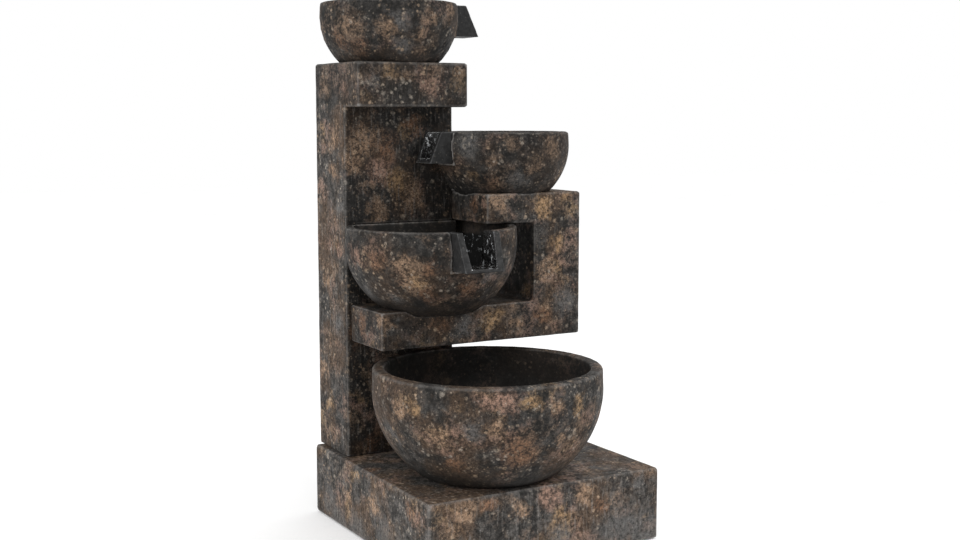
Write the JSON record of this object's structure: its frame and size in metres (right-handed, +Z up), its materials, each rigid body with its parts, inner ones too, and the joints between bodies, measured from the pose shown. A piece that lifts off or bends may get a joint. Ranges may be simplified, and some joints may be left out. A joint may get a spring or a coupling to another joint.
{
  "type": "tiered_water_fountain",
  "caption": "Cascading garden water fountain with round stone-look bowls on a square plinth, a hollow column and a side frame, open box spouts and a hidden pump",
  "frame": {"origin": "centre of the bounding box footprint, at the underside of the feet", "axes": "+X towards the side frame's open end, +Y towards the column and its access door at the back, +Z up along the longest extent"},
  "size_m": [0.506, 0.603, 1.015],
  "materials": {
    "cast_stone": "weathered cast stone, charcoal with tan and rust patches and fine pale speckles, matt",
    "dark_stone": "dark charcoal cast stone, worn grey edges, wet and glossy in the channel",
    "black_plastic": "black moulded plastic, satin",
    "grey_plastic": "grey moulded plastic, fine grain",
    "vinyl": "clear-grey flexible vinyl tube, glossy",
    "rubber": "black rubber, matt",
    "steel": "stainless steel, plain machined"
  },
  "bodies": {
    "fountain": {"plinth_shell": "cast_stone", "base_plate": "grey_plastic", "reservoir_tub": "black_plastic", "column_shell": "cast_stone", "top_ledge": "cast_stone", "side_frame": "cast_stone", "side_frame_cover": "grey_plastic", "basin_bowl": "cast_stone", "lower_bowl": "cast_stone", "upper_bowl": "cast_stone", "top_bowl": "cast_stone", "lower_spout": "dark_stone", "upper_spout": "dark_stone", "top_spout": "dark_stone", "lower_bowl_bolt": "steel", "lower_bowl_washer": "rubber", "lower_bowl_nut": "steel", "upper_bowl_bolt": "steel", "upper_bowl_washer": "rubber", "upper_bowl_nut": "steel", "basin_drain_fitting": "black_plastic", "basin_drain_gasket": "rubber", "basin_drain_nut": "black_plastic", "inlet_fitting": "black_plastic", "inlet_gasket": "rubber", "inlet_nut": "black_plastic", "riser_hose": "vinyl", "hose_clamp_low": "steel", "hose_clamp_high": "steel", "pump_body": "black_plastic", "pump_cover": "black_plastic", "pump_shaft": "steel", "door_pin_low": "steel", "door_pin_high": "steel", "cable_gland": "black_plastic", "foot_1": "rubber", "foot_2": "rubber", "foot_3": "rubber", "foot_4": "rubber", "pump_cup_1": "rubber", "pump_cup_2": "rubber", "pump_cup_3": "rubber", "pump_cup_4": "rubber", "frame_front_bolt_1": "steel", "frame_front_bolt_2": "steel", "frame_side_bolt_1": "steel", "frame_side_bolt_2": "steel", "column_anchor_1": "steel", "column_anchor_2": "steel", "cover_screw_1": "steel", "cover_screw_2": "steel", "cover_screw_3": "steel", "cover_screw_4": "steel"},
    "door": {"access_door": "grey_plastic"},
    "rotor": {"pump_impeller": "grey_plastic"},
    "dial": {"pump_flow_dial": "grey_plastic"},
    "strainer": {"basin_strainer": "black_plastic"},
    "drain_plug": {"reservoir_drain_plug": "rubber"}
  },
  "joints": [
    {"name": "door_hinge", "type": "hinge", "parent": "fountain", "child": "door", "pos_m": [-0.18, 0.2642, 0.295], "axis": [0, 0, 1], "range_deg": [0, 110]},
    {"name": "impeller_spin", "type": "hinge", "parent": "fountain", "child": "rotor", "pos_m": [-0.109, 0.1875, 0.049], "axis": [0, 1, 0], "continuous": true},
    {"name": "flow_dial_turn", "type": "hinge", "parent": "fountain", "child": "dial", "pos_m": [-0.129, 0.212, 0.049], "axis": [0, 1, 0], "range_deg": [0, 90]},
    {"name": "strainer_lift", "type": "slide", "parent": "fountain", "child": "strainer", "axis": [0, 0, 1], "range_m": [0, 0.05]},
    {"name": "drain_plug_pull", "type": "slide", "parent": "fountain", "child": "drain_plug", "axis": [0, 1, 0], "range_m": [0, 0.03]}
  ]
}
